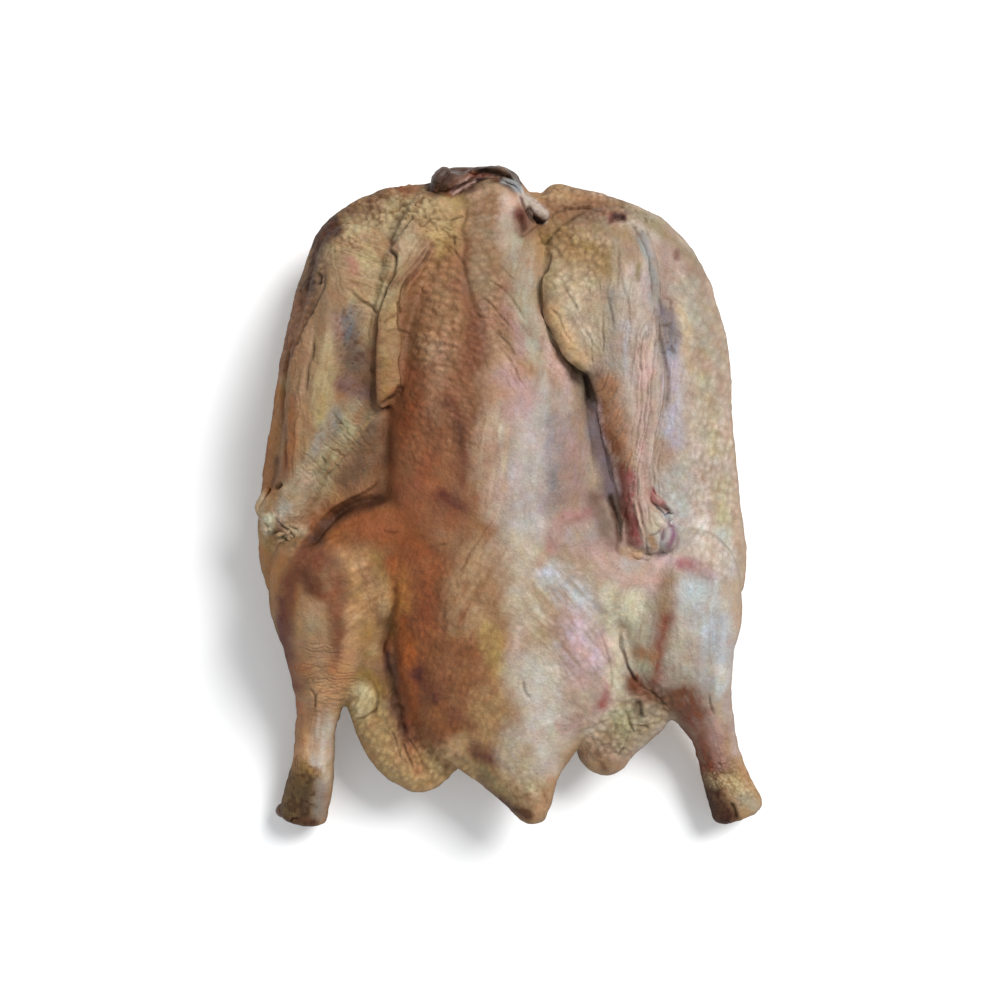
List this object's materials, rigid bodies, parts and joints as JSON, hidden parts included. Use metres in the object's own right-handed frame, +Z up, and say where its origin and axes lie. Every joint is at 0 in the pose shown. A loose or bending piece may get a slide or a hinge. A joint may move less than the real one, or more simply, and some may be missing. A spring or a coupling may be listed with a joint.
{
  "type": "whole raw goose",
  "caption": "Whole raw plucked goose lying on its breast, back up, with its neck cut short, wings cut at the elbow and legs cut at the hock.",
  "frame": {"origin": "middle of the flat spot of the breast that the bird rests on, at the level of the board", "axes": "+Y along the body towards the neck, -Y towards the tail, +Z up out of the back"},
  "size_m": [0.3106, 0.4016, 0.1143],
  "materials": {
    "skin": "damp raw skin, soft satin, pebbled and wrinkled"
  },
  "bodies": {
    "root": {"goose": "skin"}
  },
  "joints": []
}
